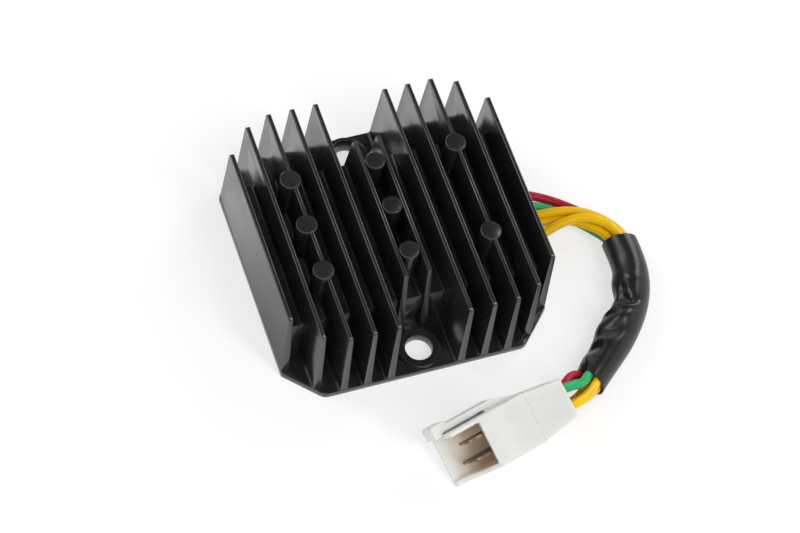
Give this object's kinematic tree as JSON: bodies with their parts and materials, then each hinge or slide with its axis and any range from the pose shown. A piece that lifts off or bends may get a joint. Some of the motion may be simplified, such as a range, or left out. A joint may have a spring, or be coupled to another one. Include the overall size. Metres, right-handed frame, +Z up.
{
  "type": "voltage regulator rectifier",
  "caption": "Black finned die-cast regulator rectifier with short pin posts, coloured leads in a soft sleeve and a latched white connector.",
  "frame": {"origin": "on the surface that the casting stands on, under the middle of the casting", "axes": "+X across the fins, towards the side where the wires leave; +Y along the fins, away from the connector; +Z up, from the mounting face to the fins' crests"},
  "size_m": [0.0999, 0.1045, 0.0256],
  "materials": {
    "black_paint": "semi-gloss",
    "resin": "cast resin, satin",
    "grey_silicone": "matt",
    "board": "satin",
    "package_black": "moulded, matt",
    "zener_grey": "gloss",
    "resistor_tan": "satin",
    "capacitor_yellow": "gloss",
    "red_pvc": "soft gloss",
    "green_pvc": "soft gloss",
    "yellow_pvc": "soft gloss",
    "black_vinyl": "soft gloss",
    "white_nylon": "satin",
    "brass": "bright"
  },
  "bodies": {
    "root": {"heat_sink": "black_paint", "potting_resin": "resin", "insulating_sheet": "grey_silicone", "circuit_board": "board", "thyristor_1": "package_black", "thyristor_2": "package_black", "thyristor_3": "package_black", "rectifier_diode_1": "package_black", "rectifier_diode_2": "package_black", "rectifier_diode_3": "package_black", "zener_diode": "zener_grey", "control_transistor": "package_black", "gate_resistor_1": "resistor_tan", "gate_resistor_2": "resistor_tan", "gate_resistor_3": "resistor_tan", "sense_resistor": "resistor_tan", "filter_capacitor": "capacitor_yellow", "wire_red": "red_pvc", "wire_green": "green_pvc", "wire_yellow_1": "yellow_pvc", "wire_yellow_2": "yellow_pvc", "wire_yellow_3": "yellow_pvc", "wire_sleeve": "black_vinyl", "connector_housing": "white_nylon", "terminal_red": "brass", "terminal_green": "brass", "terminal_yellow_1": "brass", "terminal_yellow_2": "brass", "terminal_yellow_3": "brass"}
  },
  "joints": []
}
